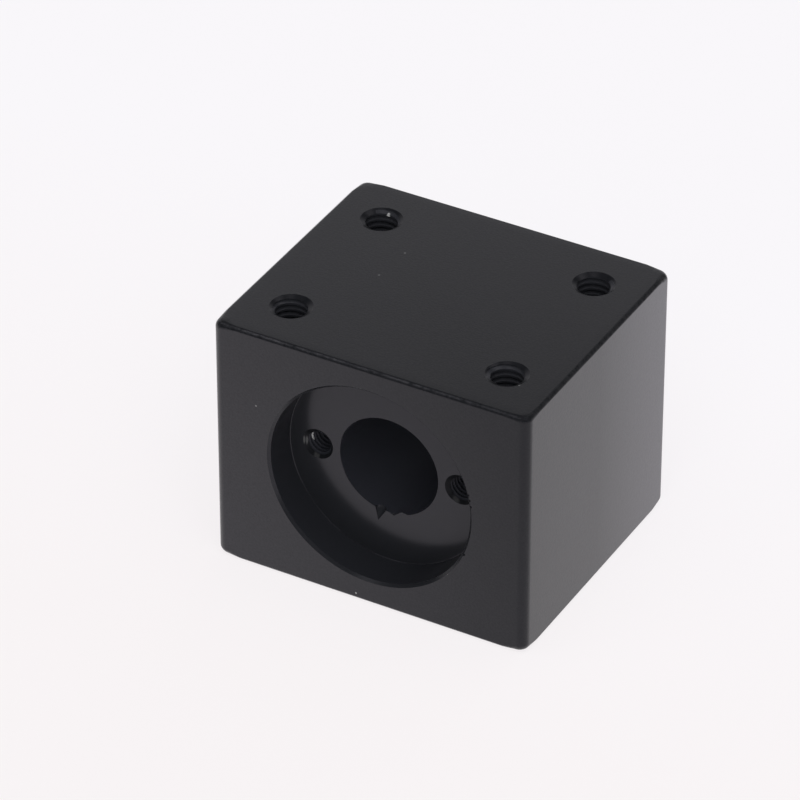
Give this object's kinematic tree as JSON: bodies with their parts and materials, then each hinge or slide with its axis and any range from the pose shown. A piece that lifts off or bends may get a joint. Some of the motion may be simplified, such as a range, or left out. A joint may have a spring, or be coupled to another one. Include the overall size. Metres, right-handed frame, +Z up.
{
  "type": "lead screw nut housing",
  "caption": "Black anodised block with a counterbored bore that holds a flanged lead screw nut, and tapped holes in its top face that carry a moving plate or load.",
  "frame": {"origin": "middle of the bottom face", "axes": "+X along the front face, -Y out of the front face where the nut goes in, +Z up out of the tapped top face"},
  "size_m": [0.035, 0.03, 0.028],
  "materials": {
    "black_anodised_aluminium": "bead blasted and anodised black, satin"
  },
  "bodies": {
    "root": {"nut_housing": "black_anodised_aluminium"}
  },
  "joints": []
}
